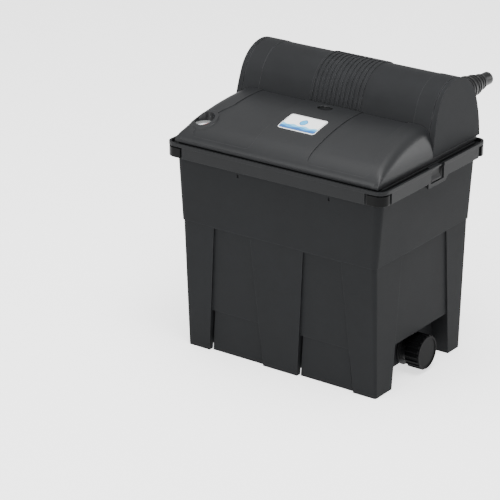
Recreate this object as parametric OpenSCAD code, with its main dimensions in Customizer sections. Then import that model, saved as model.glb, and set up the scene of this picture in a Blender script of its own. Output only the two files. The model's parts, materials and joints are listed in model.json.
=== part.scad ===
// Flow-through box filter for garden ponds, with a UV clarifier under its rear hood.
// Millimetres. +X runs along the front to the right, +Y to the rear, +Z up.
// The origin is on the ground, under the middle of the tank.

/* [Tank] */
// Width of the tank wall at the rim
tank_w = 358; // [356:1:360]
// Depth of the tank wall at the rim
tank_d = 260; // [258:1:261]
// Height of the tank wall
rim_z = 327; // [326:0.5:327]
// Height of the step between the lower part and the upper band
step_z = 206; // [200:1:210]
// Height of the ledge over the side alcoves and the lower front panels
shelf_z = 67; // [64:1:68]
// Wall thickness of the tank
wall = 4; // [3:0.5:4]
// Gap between the ground and the tank floor
floor_gap = 10; // [8:1:10]
// Shift of the side features to the rear
side_shift = 5; // [0:1:6]

/* [Collar] */
// Width over the collar
collar_w = 380; // [378:1:382]
// Depth over the collar
collar_d = 282; // [280:1:284]
// Height of the collar
collar_h = 22; // [20:1:23]
// Corner radius of the collar
collar_r = 16; // [14:1:18]

/* [Lid] */
// Width of the lid
lid_w = 353; // [351:1:354]
// Height of the lid crown above the ground
crown_z = 376; // [374:1:377]
// Wall thickness of the lid
lid_wall = 3; // [2.5:0.5:3]
// Depth of the two sunk panels on the lid
panel_sink = 1.2; // [0.8:0.1:1.5]
// Radius of the thermometer well
well_r = 15; // [15:0.1:15.5]

/* [Hood] */
// Radius of the hood arch
hood_r = 54.5; // [54.5:0.5:55.5]
// Wall thickness of the hood
hood_wall = 3; // [2.5:0.5:3]
// Number of ribs over the middle of the hood
rib_count = 12; // [8:2:12]
// Spacing of the ribs
rib_pitch = 7.75; // [7:0.25:8]

/* [UV unit] */
// Outer radius of the water housing
housing_r = 36; // [34:1:36]
// Outer radius of the quartz tube
quartz_r = 12.5; // [12:0.5:13]
// Distance of the hose tail to the right of the centre
tail_x = 143; // [141:1:143]
// Height of the hose tail
tail_z = 394; // [392:1:394]

/* [Connections] */
// Outer radius of the outlet pipe
outlet_r = 25; // [24:0.5:25]
// Height of the outlet pipe
outlet_z = 258; // [250:1:262]
// Radius of the drain cap over its teeth
cap_r = 26.6; // [26:0.1:27]
// Height of the drain
drain_z = 31; // [30:0.5:31]

/* [Foam] */
// Thickness of one foam block
foam_t = 54; // [50:1:54]
// Height of one foam block
foam_h = 184; // [160:2:190]
// Depth of one foam block
foam_d = 196; // [180:2:198]

/* [Hidden] */
$fn = 72;
eps = 0.01;
far = 600;

// tank, half sizes at the levels where its taper changes
half_w = tank_w / 2;
half_d = tank_d / 2;
band_z = rim_z - 20;          // top of the tapered band
band_w = half_w - 7.5;        // half width of the band at the step
band_d = half_d - 2;
low_w = band_w - 1.5;         // half width of the lower part at the step
low_d = band_d - 1.5;
foot_w = half_w - 10.5;       // half width on the ground
foot_d = half_d - 14.5;
floor_z = floor_gap + wall;
recess_top = step_z - 2;
rim_t = 9;                    // width of the rim that carries the lid seal
pillar_top = 47;              // half width of the middle pillar at the step
pillar_foot = 30.5;
leg_top = 112;                // inner edge of the corner legs at the step
leg_foot = 129.5;
panel_y = foot_d - 4.5;       // lower front panel on the ground, from the middle
ledge_y = foot_d + (low_d - foot_d) * shelf_z / step_z - 3.8;
side_ledge = foot_w + (low_w - foot_w) * shelf_z / step_z - 2.6;
alcove_x = 140;               // back wall of the side alcoves
alcove_half = 78;             // half width of an alcove on the ground
side_half_top = 60;
slot_w = 4;                   // deep slots beside the lower front panels
slot_d = 12;

// collar
collar_z = rim_z + 1;         // top of the collar lip
collar_z0 = collar_z - collar_h;
lip_h = 5;
skirt_t = 3.6;
skin_t = 0.8;                 // skin behind the corner bumpers and their slots
web_t = 3;                     // web that joins the collar to the tank wall, under the lip
web_z = collar_z - lip_h - web_t;
flap_half = 28;
flap_z = collar_z0 - 7;
latch_y = side_shift - 5;     // middle of a latch lever
latch_half = 12.5;
pivot_x = collar_w / 2 - 6.5;
pivot_z = flap_z + 4;
pivot_r = 1.5;

// lid
flange_z = rim_z + 1.5;       // underside of the lid flange
deck_z = flange_z + 4.7;      // top of the lid flange and the rear deck
lid_rear = 139.5;
crown_y = 16;
crown_r = 330;
nose_r = 87;
crown_end = 20.6;             // angle from the vertical where the two arcs meet
nose_cy = crown_y - (crown_r - nose_r) * sin(crown_end);
nose_cz = crown_z - crown_r + (crown_r - nose_r) * cos(crown_end);
nose_end = acos((deck_z - 1 - nose_cz) / nose_r);
lid_front = nose_r * sin(nose_end) - nose_cy;
lid_half = lid_w / 2;
lid_mid_y = (lid_rear - lid_front) / 2;
well_x = -151.5;
well_y = -94;
dial_z = deck_z + 13.3;
end_lean = 23;                // how far the ends lean in, up to the crown
button_y = 3;
button_z = crown_z - 15.2;    // underside of the boss around the button
button_x = -5;
label_x = -3;
label_y = -56.5;

// hood
hood_y = 78;                  // middle of the arch
hood_cz = 380;
hood_z0 = deck_z + 0.3;
hood_half = 176.2;
hood_lean = 4.2;
seam_x = 164.6;
front_r = 312;                // flatter arcs that lead into the arch, front and rear
front_a = 160;
rear_r = 172;
rear_a = 20;
front_y = hood_y - (front_r - hood_r) * cos(front_a);
front_z = hood_cz - (front_r - hood_r) * sin(front_a);
rear_y = hood_y - (rear_r - hood_r) * cos(rear_a);
rear_z = hood_cz - (rear_r - hood_r) * sin(rear_a);
hood_gap = 0.8;               // between the hood and the barrel of the lid
hood_top = hood_cz + hood_r;
band_half = 136;

// UV unit
uv_y = hood_y;
uv_z = hood_cz;
uv_left = -98;                // open end of the water housing
uv_right = 96;
elbow_y = 62;
elbow_r = 17;
elbow_bore = 14;
elbow_end = 90;
spout_x = -62;
spout_r = 15;
spout_z = flange_z - 33;       // lower end of the spout
gland_x = -135;
gland_z = uv_z;
screw_places = [for (x = [-46, 60], y = [-24, 24]) [x, uv_y + y]];
// steps of the hose tail: radius and length, from the nut to the free end
tail_steps = [[19, 62], [16, 19], [12.5, 18], [10, 19]];
tail_start = elbow_end + 6;

// drain and outlet
drain_y = side_shift + 3.5;
drain_neck_r = 20.4;
stub_r = 12.5;                // part of the drain neck in the tank wall
cap_face = 178;
cap_seat = alcove_x + 31.1;
outlet_x = 112;
outlet_end = half_d + 46;

// foam chamber
grid_z = shelf_z + wall;
grid_t = 4.5;
foam_z = grid_z + grid_t + 2;
foam_gap = 2;
foam_x = -64;                 // middle of the first block
foam_pitch = foam_t + foam_gap;
rod_y = 50;
rod_r = 4;
handle_z = foam_z + foam_h;
partition_t = 3;
partition_x = foam_t / 2 + 3;

// ---------- shared shapes ----------

// rounded rectangle with true arcs, centred
module rounded(w, d, r) {
    square([w - 2 * r, d], center = true);
    square([w, d - 2 * r], center = true);
    for (sx = [-1, 1], sy = [-1, 1])
        translate([sx * (w / 2 - r), sy * (d / 2 - r)]) circle(r);
}

module slab(w, d, r, z0, z1)
    translate([0, 0, z0]) linear_extrude(z1 - z0) rounded(w, d, r);

// box between two corners
module box(a, b)
    translate(a) cube(b - a);

// tapered block between two rounded rectangles, given by half sizes
module taper(w0, d0, r0, z0, w1, d1, r1, z1) {
    hull($fn = 32) {
        slab(2 * w0, 2 * d0, r0, z0, z0 + eps, $fn = 32);
        slab(2 * w1, 2 * d1, r1, z1 - eps, z1, $fn = 32);
    }
}

// outline in (y, z), extruded along X between two values
module along_x(x0, x1)
    translate([x0, 0, 0]) rotate([90, 0, 90]) linear_extrude(x1 - x0) children();

// outline in (x, z), extruded along Y between two values
module along_y(y0, y1)
    translate([0, y1, 0]) rotate([90, 0, 0]) linear_extrude(y1 - y0) children();

// cylinders along the axes, from one value to another
module rod_x(x0, x1, y, z, r)
    translate([x0, y, z]) rotate([0, 90, 0]) cylinder(h = x1 - x0, r = r);
module rod_y(y0, y1, x, z, r)
    translate([x, y0, z]) rotate([-90, 0, 0]) cylinder(h = y1 - y0, r = r);
module rod_z(z0, z1, x, y, r)
    translate([x, y, z0]) cylinder(h = z1 - z0, r = r);

module both_sides() {
    children();
    mirror([1, 0, 0]) children();
}

module front_and_rear() {
    children();
    mirror([0, 1, 0]) children();
}

function arc(cx, cy, r, a0, a1, n) =
    [for (i = [0 : n]) let (a = a0 + (a1 - a0) * i / n) [cx + r * cos(a), cy + r * sin(a)]];

// ---------- tank ----------

// outside of the tank, drawn in by t
module tank_form(t, z0, z1) {
    taper(foot_w - t, foot_d - t, 4, z0, low_w - t, low_d - t, 7, step_z);
    taper(band_w - t, band_d - t, 8, step_z - eps, half_w - t, half_d - t, 12, band_z);
    slab(2 * (half_w - t), 2 * (half_d - t), 12, band_z - eps, z1);
}

// inner edges of a pillar and a corner leg at the height z
function pillar_edge(z) = pillar_foot + (pillar_top - pillar_foot) * z / step_z;
function leg_edge(z) = leg_foot + (leg_top - leg_foot) * z / step_z;

// the tapering recess between the pillar and a corner leg, grown by g
module front_recess(g) {
    intersection() {
        along_y(-far, 0)
            polygon([[pillar_edge(recess_top) - g, recess_top + g],
                     [leg_edge(recess_top) + g, recess_top + g],
                     [leg_foot + g, -1], [pillar_foot - g, -1]]);
        along_x(0, far)
            polygon([[-far, -1], [-far, recess_top + g], [g - low_d + 3, recess_top + g],
                     [g - ledge_y, shelf_z + g], [g - ledge_y + 1.5, shelf_z + g],
                     [g - panel_y, -1]]);
    }
    // deep slots on both sides of the lower panel
    intersection() {
        along_y(-far, 0) {
            slot_outline(pillar_edge(shelf_z), pillar_foot, g);
            slot_outline(leg_edge(shelf_z) - slot_w, leg_foot - slot_w, g);
        }
        box([0, -far, -2], [far, g - panel_y + slot_d, shelf_z + 9]);
    }
}

// leaning strip in (x, z) from the ground to just under the ledge
module slot_outline(top_x, foot_x, g)
    polygon([[top_x - g, shelf_z - 1 + g], [top_x + slot_w + g, shelf_z - 1 + g],
             [foot_x + slot_w + g, -1], [foot_x - g, -1]]);

// shallow panel over a deep alcove in the side, grown by g
module side_recess(g) {
    translate([0, side_shift, 0]) {
        intersection() {
            along_x(0, far)
                polygon([[-side_half_top - g, recess_top + g], [side_half_top + g, recess_top + g],
                         [alcove_half + g, -1], [-alcove_half - g, -1]]);
            along_y(-far, far)
                polygon([[far, -1], [far, recess_top + g], [low_w - 2.2 - g, recess_top + g],
                         [side_ledge - g, shelf_z + g], [alcove_x - g, shelf_z + g],
                         [alcove_x - g, -1]]);
        }
    }
}

module recesses(g) {
    front_and_rear() both_sides() front_recess(g);
    both_sides() side_recess(g);
}

module tank() {
    color("#3a3c3e") {
        tank_shell();
        // foot under the middle of the floor
        rod_z(0, floor_gap + 1, 0, 0, 16);
    }
}

module tank_shell() {
    difference() {
        tank_form(0, 0, rim_z);
        difference() {
            tank_form(wall, floor_z, rim_z - 8);
            recesses(wall);
            // the floor closes the legs at the same level
            box([-far, -far, -1], [far, far, floor_z]);
        }
        recesses(0);
        // opening at the top: the rim is turned in to carry the lid seal
        slab(tank_w - 2 * rim_t, tank_d - 2 * rim_t, 8, rim_z - 9, rim_z + 1);
        // open space under the floor
        box([-alcove_x - eps, wall - panel_y, -1], [alcove_x + eps, panel_y - wall, floor_gap]);
        rod_y(half_d - 20, half_d + 10, outlet_x, outlet_z, outlet_r);
        rod_x(alcove_x - wall - 4, alcove_x + 2, drain_y, drain_z, stub_r);
        // two small marks under the collar at the front
        for (x = [-66, 92.5]) box([x - 1.7, -far, flap_z - 5.5], [x + 1.7, -half_d + 2, flap_z]);
    }
}

// ---------- collar around the rim ----------

module collar_ring(out, in, z0, z1) {
    difference() {
        slab(collar_w - 2 * out, collar_d - 2 * out, collar_r - out, z0, z1);
        slab(collar_w - 2 * in, collar_d - 2 * in, collar_r - in, z0 - 1, z1 + 1);
    }
}

// corner regions under the lip, wider by the slots than the bumpers in them
module bumper_region(slot_x, slot_y, top_gap) {
    for (sx = [-1, 1], sy = [-1, 1])
        scale([sx, sy, 1])
            box([collar_w / 2 - 31 + slot_x, collar_d / 2 - 24 + slot_y, collar_z0 - 1],
                [far, far, collar_z - lip_h - top_gap]);
}

module latch_bay() {
    translate([0, latch_y, 0]) {
        // window in the flap and the room behind it
        box([half_w + 1, -latch_half - 0.8, pivot_z + 1.5], [far, latch_half + 8, collar_z + 1]);
        box([half_w + 1, -latch_half - 0.8, flap_z - 1],
            [collar_w / 2 - skirt_t, latch_half + 0.8, collar_z + 1]);
    }
    // slit at the front end of the flap
    translate([0, side_shift - flap_half, 0])
        box([collar_w / 2 - skirt_t - 1, 0, flap_z - 1], [far, 2.4, flap_z + 8]);
}

module rim_collar() {
    color("#404244") {
        difference() {
            union() {
                collar_ring(0, skirt_t, collar_z - lip_h, collar_z);
                collar_ring(0.8, skirt_t, collar_z0, collar_z);
                both_sides() along_x(collar_w / 2 - skirt_t, collar_w / 2 - 0.8)
                    translate([side_shift, 0])
                        polygon([[-flap_half, flap_z], [flap_half - 8, flap_z],
                                 [flap_half, collar_z0], [flap_half, collar_z0 + 1],
                                 [-flap_half, collar_z0 + 1]]);
                difference() {
                    slab(collar_w - 2, collar_d - 2, collar_r - 1, web_z, web_z + web_t);
                    slab(tank_w, tank_d, 12, web_z - 1, web_z + web_t + 1);
                }
            }
            both_sides() latch_bay();
            intersection() {
                collar_ring(-1, skirt_t - skin_t, collar_z0 - 1, collar_z - lip_h);
                bumper_region(0, 0, 0);
            }
        }
        // lugs that hold the latch pins
        both_sides() for (s = [-1, 1])
            translate([0, latch_y + s * (latch_half + 2.6), 0])
                difference() {
                    box([half_w, -1.6, flap_z], [collar_w / 2 - skirt_t, 1.6, flap_z + 9]);
                    rod_y(-3, 3, pivot_x, pivot_z, pivot_r);
                }
    }
}

module corner_bumpers() {
    color("#2c2d2f") intersection() {
        collar_ring(0.2, skirt_t - skin_t, collar_z0, collar_z - lip_h - 1.2);
        bumper_region(3, 6, 1.2);
    }
}

// ---------- latches ----------

module latch_pins() {
    color("silver") both_sides()
        rod_y(latch_y - latch_half - 4.2, latch_y + latch_half + 4.2, pivot_x, pivot_z, pivot_r);
}

// lever with a scooped face, turning on its pin at the lower edge
module latch() {
    color("#46484a") difference() {
        along_y(latch_y - latch_half, latch_y + latch_half) {
            translate([pivot_x, pivot_z]) circle(2.5);
            polygon([[pivot_x - 2, pivot_z + 1.5], [pivot_x + 2, pivot_z + 1.5],
                     [pivot_x + 1.6, pivot_z + 2.6], [collar_w / 2 - 0.6, pivot_z + 3.9],
                     [collar_w / 2 - 0.6, flap_z + 10.5],
                     [collar_w / 2 - 4, flap_z + 15], [collar_w / 2 - 4.6, flap_z + 21],
                     [collar_w / 2 - 3, collar_z - 3.4], [collar_w / 2 - 0.2, collar_z - 2.6],
                     [collar_w / 2 - 0.2, collar_z], [half_w + 3, collar_z],
                     [half_w + 2.4, collar_z - 1.5], [pivot_x + 0.5, collar_z - 5]]);
        }
        rod_y(latch_y - 40, latch_y + 40, pivot_x, pivot_z, pivot_r + 0.05);
    }
}

module right_latch() latch();
module left_latch() mirror([1, 0, 0]) latch();

// ---------- fittings of the tank ----------

module support_grid() {
    color("#55585a") difference() {
        slab(306, 204, 6, grid_z, grid_z + grid_t);
        for (i = [-5 : 5], j = [-3 : 3])
            translate([i * 26, j * 27, 0]) slab(20, 21, 3, grid_z - 1, grid_z + grid_t + 1, $fn = 16);
    }
}

// lattice wall between the compartments
module partition(x) {
    height = foam_h - 14;
    color("#4a4d4f") difference() {
        box([x, -108, grid_z + grid_t], [x + partition_t, 108, grid_z + grid_t + height]);
        for (i = [-4 : 4], j = [0 : 5])
            translate([x - 1, i * 23 - 8.5, grid_z + grid_t + 12 + j * 26]) cube([partition_t + 2, 17, 18]);
    }
}

module left_partition() partition(foam_x - partition_x - partition_t);
module right_partition() partition(foam_x + 2 * foam_pitch + partition_x);

module outlet_pipe() {
    color("#35373a") difference() {
        union() {
            rod_y(half_d - 16, outlet_end, outlet_x, outlet_z, outlet_r);
            rod_y(half_d + 1.5, half_d + 5.5, outlet_x, outlet_z, outlet_r + 8);
        }
        rod_y(half_d - 17, outlet_end + 1, outlet_x, outlet_z, outlet_r - 2.5);
    }
}

module outlet_gasket() {
    color("#1c1c1c") difference() {
        rod_y(half_d - 0.4, half_d + 1.5, outlet_x, outlet_z, outlet_r + 7);
        rod_y(half_d - 2, half_d + 3, outlet_x, outlet_z, outlet_r);
    }
}

module outlet_nut() {
    color("#35373a") difference() {
        union() {
            rod_y(half_d - 14, half_d - 5.6, outlet_x, outlet_z, outlet_r + 6);
            for (a = [0 : 30 : 330])
                translate([outlet_x, half_d - 14, outlet_z]) rotate([-90, 0, 0]) rotate([0, 0, a])
                    translate([outlet_r + 4, -2, 0]) cube([5, 4, 8.4]);
        }
        rod_y(half_d - 16, half_d, outlet_x, outlet_z, outlet_r);
    }
}

module drain_neck() {
    color("#303234") difference() {
        union() {
            rod_x(alcove_x - wall - 8, alcove_x + 1, drain_y, drain_z, stub_r);
            rod_x(alcove_x, alcove_x + 31, drain_y, drain_z, drain_neck_r);
            rod_x(alcove_x, alcove_x + 3, drain_y, drain_z, drain_neck_r + 6);
        }
        rod_x(alcove_x - wall - 9, alcove_x + 4, drain_y, drain_z, stub_r - 2.5);
        rod_x(alcove_x + 3, alcove_x + 32, drain_y, drain_z, drain_neck_r - 3.4);
    }
}

module drain_neck_nut() {
    color("#303234") difference() {
        rod_x(alcove_x - wall - 7, alcove_x - wall, drain_y, drain_z, stub_r + 4, $fn = 6);
        rod_x(alcove_x - wall - 8, alcove_x, drain_y, drain_z, stub_r);
    }
}

module drain_gasket() {
    color("#1c1c1c") difference() {
        rod_x(cap_seat, cap_seat + 2.4, drain_y, drain_z, drain_neck_r);
        rod_x(cap_seat - 1, cap_seat + 4, drain_y, drain_z, drain_neck_r - 5);
    }
}

module drain_cap() {
    teeth = 20;
    body_r = cap_r - 1.6;
    color("#4b4d50") difference() {
        union() {
            rod_x(cap_face - 24, cap_face, drain_y, drain_z, body_r);
            for (i = [0 : teeth - 1])
                translate([cap_face, drain_y, drain_z]) rotate([360 * i / teeth, 0, 0])
                    rod_x(-23.4, -1.6, 0, cap_r - 2.1, 2.1, $fn = 24);
        }
        rod_x(cap_face - 25, cap_seat + 2.4, drain_y, drain_z, drain_neck_r + 0.4);
        rod_x(cap_face - 1, cap_face + 1, drain_y, drain_z, body_r - 2.4);
    }
}

// ---------- foam blocks and their holders ----------

module foam(i) {
    x = foam_x + i * foam_pitch;
    difference() {
        box([x - foam_t / 2, -foam_d / 2, foam_z], [x + foam_t / 2, foam_d / 2, foam_z + foam_h]);
        for (s = [-1, 1]) rod_z(foam_z - 1, foam_z + foam_h + 1, x, s * rod_y, rod_r + 0.2);
    }
}

// base plate, two rods and a top bar with a grip
module holder(i) {
    x = foam_x + i * foam_pitch;
    color("#2f6fb0") {
        difference() {
            box([x - 22, -foam_d / 2 + 4, foam_z - 1.6], [x + 22, foam_d / 2 - 4, foam_z]);
            for (k = [-3 : 3]) translate([x, k * 25, 0]) slab(30, 15, 4, foam_z - 3, foam_z + 1);
        }
        for (s = [-1, 1]) rod_z(foam_z - 0.1, handle_z + 8, x, s * rod_y, rod_r);
        box([x - 9, -rod_y - 9, handle_z], [x + 9, rod_y + 9, handle_z + 4]);
        difference() {
            box([x - 3, -34, handle_z + 3.9], [x + 3, 34, handle_z + 26]);
            box([x - 4, -26, handle_z + 5], [x + 4, 26, handle_z + 19]);
        }
    }
}

module coarse_foam() color("#2b4f8c") foam(0);
module medium_foam() color("#a8322b") foam(1);
module fine_foam() color("#5b3a78") foam(2);
module coarse_holder() holder(0);
module medium_holder() holder(1);
module fine_holder() holder(2);

// ---------- lid ----------

// upper outline of the barrel in (y, z), drawn in by t
function crown_outline(t) = concat(
    arc(crown_y, crown_z - crown_r, crown_r - t, 91, 90 + crown_end * 11 / 12, 10),
    arc(nose_cy, nose_cz, nose_r - t, 90 + crown_end, 90 + nose_end, 6));

// outline in (x, z) of the leaning ends, from the level z0 up
function end_outline(t, z0) =
    [for (s = [1, -1], i = [0 : 9])
        let (j = s > 0 ? i : 9 - i, k = max(j - 1, 0) / 8)
        [s * (lid_half - t - end_lean * pow(k, 1.7)),
         j == 0 ? z0 : deck_z + k * (crown_z - deck_z + 8)]];

// front arc of the hood in (y, z) between two heights, moved out by g
function front_arc(g, z0, z1, n) =
    arc(front_y, front_z, front_r + g,
        180 - asin((z0 - front_z) / (front_r + g)), 180 - asin((z1 - front_z) / (front_r + g)), n);

// front part of the lid: a barrel whose ends lean inwards
module lid_form(t, z0) {
    intersection() {
        along_x(-far, far)
            polygon(concat(
                front_arc(hood_gap + t, z0, crown_z - t, 5),
                crown_outline(t),
                [[nose_cy - (nose_r - t) * sin(nose_end), z0]]));
        along_y(-far, far) polygon(end_outline(t, z0));
    }
}

// plan of one sunk panel: rounded corners at the front, running under the hood
module panel_plan() {
    inner = 49;
    front = 126;
    outer_front = 153;
    outer_rear = 128;
    corner = 8;
    polygon(concat(
        [[inner, 30]],
        arc(inner + corner, corner - front, corner, 180, 270, 5),
        arc(outer_front - corner, corner - front, corner, 270, 360, 5),
        [[outer_front - 3, -100], [outer_rear + 4, -45], [outer_rear, 30]]));
}

module lid_outline()
    translate([0, lid_mid_y]) rounded(lid_w, lid_front + lid_rear, 12);

// everything inside the ring on which the seal lies, drawn in by t
module seal_opening(t, z0, z1)
    slab(tank_w - 2 * (rim_t + t), tank_d - 2 * (rim_t + t), 8 - t, z0, z1);

module lid() {
    color("#45474a") difference() {
        union() {
            difference() {
                union() {
                    lid_form(0, flange_z);
                    translate([0, 0, flange_z]) linear_extrude(deck_z - flange_z) lid_outline();
                    // boss around the thermometer well
                    intersection() {
                        lid_form(-1.1, flange_z);
                        rod_z(deck_z - 1, crown_z, well_x, well_y, well_r + 5.4);
                        along_y(-far, far) polygon(end_outline(0, flange_z));
                    }
                }
                // two sunk panels
                difference() {
                    both_sides() translate([0, 0, deck_z + 0.8]) linear_extrude(60) panel_plan();
                    lid_form(panel_sink, flange_z);
                    rod_z(deck_z, crown_z + 20, well_x, well_y, well_r + 5.8);
                }
                // hollow barrel; the flange stays solid over the seal
                difference() {
                    lid_form(lid_wall + panel_sink, flange_z - 1);
                    difference() {
                        box([-far, -far, flange_z - 2], [far, far, deck_z - 1]);
                        seal_opening(2, flange_z - 3, deck_z);
                    }
                    rod_z(deck_z, crown_z, well_x, well_y, well_r + 2.4);
                    rod_z(button_z, crown_z, button_x, button_y - 4, 15);
                }
                seal_opening(0, flange_z - 1.5, flange_z + 1);
            }
        }
        rod_z(dial_z - 2, crown_z + 9, well_x, well_y, well_r);
        rod_z(flange_z - 2, dial_z, well_x, well_y, 4.2);
        // oval well of the hood button
        translate([button_x, button_y, crown_z - 11]) linear_extrude(20) scale([1, 0.72]) circle(12.5);
        translate([button_x, button_y, flange_z - 2]) cylinder(h = 60, r = 4.1);
        // port for the water from the UV housing
        rod_z(flange_z - 2, deck_z + 1, spout_x, uv_y, spout_r);
        for (p = screw_places) rod_z(flange_z - 2, deck_z + 1, p[0], p[1], 2.2);
    }
}

module lid_seal() {
    color("#1c1c1c") difference() {
        slab(lid_w - 2, tank_d - 3, 10, rim_z + 0.2, flange_z);
        slab(lid_w - 10, tank_d - 11, 6, rim_z - 1, flange_z + 1);
    }
}

module label_plate() {
    color("white") difference() {
        intersection() {
            lid_form(-0.8, flange_z);
            translate([label_x, label_y, deck_z]) linear_extrude(80) rounded(64, 39, 4);
        }
        lid_form(0, flange_z);
    }
}

module thermometer_dial() {
    color("white") {
        rod_z(dial_z - 1.6, dial_z, well_x, well_y, well_r);
        rod_z(dial_z, dial_z + 1.9, well_x, well_y, 0.8);
    }
}

module thermometer_needle() {
    color("#b02020") difference() {
        union() {
            rod_z(dial_z + 0.5, dial_z + 1.5, well_x, well_y, 2.4);
            box([well_x - 1, well_y - 5, dial_z + 0.6], [well_x + 1, well_y + 9, dial_z + 1.4]);
        }
        rod_z(dial_z, dial_z + 3, well_x, well_y, 0.85);
    }
}

module thermometer_lens() {
    color("#cfe4ea", 0.5)
        rod_z(dial_z + 2, dial_z + 3, well_x, well_y, well_r);
}

module thermometer_stem() {
    color("silver") {
        rod_z(flange_z - 70, dial_z - 1.6, well_x, well_y, 4.2);
        translate([well_x, well_y, flange_z - 70]) sphere(4.2);
    }
}

module hood_button() {
    color("#3b3d40") {
        difference() {
            translate([button_x, button_y, crown_z - 6.5]) linear_extrude(3.6)
                scale([1, 0.72]) circle(11.8);
            translate([button_x, button_y, crown_z + 27]) sphere(31);
        }
        rod_z(crown_z - 20, crown_z - 6.4, button_x, button_y, 3.8);
    }
}

module button_spring_seat() {
    color("#3b3d40") difference() {
        rod_z(button_z - 6.8, button_z, button_x, button_y - 4.5, 9.5);
        rod_z(crown_z - 24, crown_z, button_x, button_y, 4.1);
    }
}

// ---------- hood ----------

function hood_outline(t, z0) = concat(
    front_arc(-t, z0, front_z + (front_r - t) * sin(front_a), 5),
    arc(hood_y, hood_cz, hood_r - t, front_a - 7, rear_a, 19),
    arc(rear_y, rear_z, rear_r - t, rear_a - 5, 0, 3),
    [[rear_y + rear_r - t, z0]]);

// arch with leaning ends, drawn in by t
module hood_form(t, z0) {
    lean = hood_lean / (hood_top - hood_z0);
    intersection() {
        along_x(-far, far) polygon(hood_outline(t, z0));
        along_y(-far, far)
            polygon([for (s = [-1, 1]) each
                let (z = s > 0 ? [hood_top + 5, z0] : [z0, hood_top + 5])
                [[s * (hood_half - t - lean * (z[0] - hood_z0)), z[0]],
                 [s * (hood_half - t - lean * (z[1] - hood_z0)), z[1]]]]);
    }
}

module hood() {
    notch_r = 21.5;
    color("#484a4d") difference() {
        union() {
            difference() {
                hood_form(0, hood_z0);
                // band over the middle, set in a little
                difference() {
                    box([-band_half, 0, 0], [band_half, far, far]);
                    hood_form(0.8, hood_z0 - 5);
                }
                // seam just inside both ends
                both_sides() difference() {
                    box([seam_x, 0, deck_z + 4], [seam_x + 1.6, far, far]);
                    hood_form(1.2, hood_z0 - 5);
                }
            }
            // ribs over the middle
            for (i = [0 : rib_count - 1])
                intersection() {
                    hood_form(-0.8, hood_z0);
                    translate([(i - (rib_count - 1) / 2) * rib_pitch, 0, 0]) difference() {
                        box([-1.9, 0, 0], [1.9, far, far]);
                        // at the front the ribs end above the lid
                        box([-2, -1, -1], [2, hood_y, crown_z + 0.3]);
                    }
                }
        }
        hood_form(hood_wall, hood_z0 - 5);
        // notches for the hose tail and the cable gland
        rod_y(hood_y + 20, far, tail_x, tail_z, notch_r);
        box([tail_x - notch_r, hood_y + 20, 0], [tail_x + notch_r, far, tail_z]);
        rod_y(hood_y + 20, far, gland_x, gland_z, 10);
        box([gland_x - 10, hood_y + 20, 0], [gland_x + 10, far, gland_z]);
    }
}

// ---------- UV unit ----------

module uv_housing() {
    bore = housing_r - 3.5;
    color("#2e3032") difference() {
        union() {
            rod_x(uv_left, uv_right, uv_y, uv_z, housing_r);
            rod_x(uv_left, uv_left + 8, uv_y, uv_z, housing_r + 4);
            // inlet pipe with its elbow and threaded end
            rod_x(uv_right - 6, tail_x, elbow_y, tail_z, elbow_r);
            translate([tail_x, elbow_y, tail_z]) sphere(elbow_r);
            rod_y(elbow_y, elbow_end, tail_x, tail_z, elbow_r);
            rod_y(elbow_end - 14, elbow_end, tail_x, tail_z, elbow_r + 3);
            // outlet pipe down to the deck, with a rim that rests on it
            rod_z(deck_z, uv_z, spout_x, uv_y, spout_r + 5);
            // saddles with screw feet
            for (x = [-46, 60]) {
                box([x - 5, uv_y - 19, deck_z], [x + 5, uv_y + 19, uv_z - 20]);
                box([x - 7, uv_y - 31, deck_z], [x + 7, uv_y + 31, deck_z + 4]);
            }
        }
        rod_x(uv_left - 1, uv_right - 4, uv_y, uv_z, bore);
        rod_x(uv_right - 12, tail_x, elbow_y, tail_z, elbow_bore);
        translate([tail_x, elbow_y, tail_z]) sphere(elbow_bore);
        rod_y(elbow_y, elbow_end + 1, tail_x, tail_z, elbow_bore);
        rod_z(deck_z - 1, uv_z, spout_x, uv_y, spout_r);
        for (p = screw_places) rod_z(deck_z - 1, deck_z + 5, p[0], p[1], 2.2);
    }
}

// pipe that hangs under the deck and spreads the water
module inlet_spout() {
    color("#2e3032") difference() {
        union() {
            rod_z(spout_z, deck_z + 4, spout_x, uv_y, spout_r);
            rod_z(flange_z - 3, flange_z + 1, spout_x, uv_y, spout_r + 6);
            box([spout_x - 62, uv_y - 14, spout_z], [spout_x, uv_y + 14, flange_z - 12]);
        }
        rod_z(spout_z + 3, deck_z + 5, spout_x, uv_y, spout_r - 2.5);
        box([spout_x - 63, uv_y - 11.5, spout_z + 3], [spout_x, uv_y + 11.5, flange_z - 14.5]);
    }
}

module housing_screws() {
    color("silver") for (p = screw_places) {
        rod_z(flange_z - 2, deck_z + 4, p[0], p[1], 2.2);
        difference() {
            rod_z(deck_z + 4, deck_z + 7, p[0], p[1], 4.4);
            rod_z(deck_z + 5.4, deck_z + 8, p[0], p[1], 2.4, $fn = 6);
        }
    }
}

module quartz_tube() {
    tip = uv_right - 26;
    color("#dfeef2", 0.5) difference() {
        union() {
            rod_x(uv_left - 2, tip, uv_y, uv_z, quartz_r);
            translate([tip, uv_y, uv_z]) sphere(quartz_r);
        }
        rod_x(uv_left - 3, tip, uv_y, uv_z, quartz_r - 1.5);
        translate([tip, uv_y, uv_z]) sphere(quartz_r - 1.5);
    }
}

module quartz_seal() {
    color("#1c1c1c") translate([uv_left + 2.5, uv_y, uv_z]) rotate([0, 90, 0])
        rotate_extrude() translate([quartz_r + 1.6, 0]) circle(1.6, $fn = 32);
}

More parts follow.
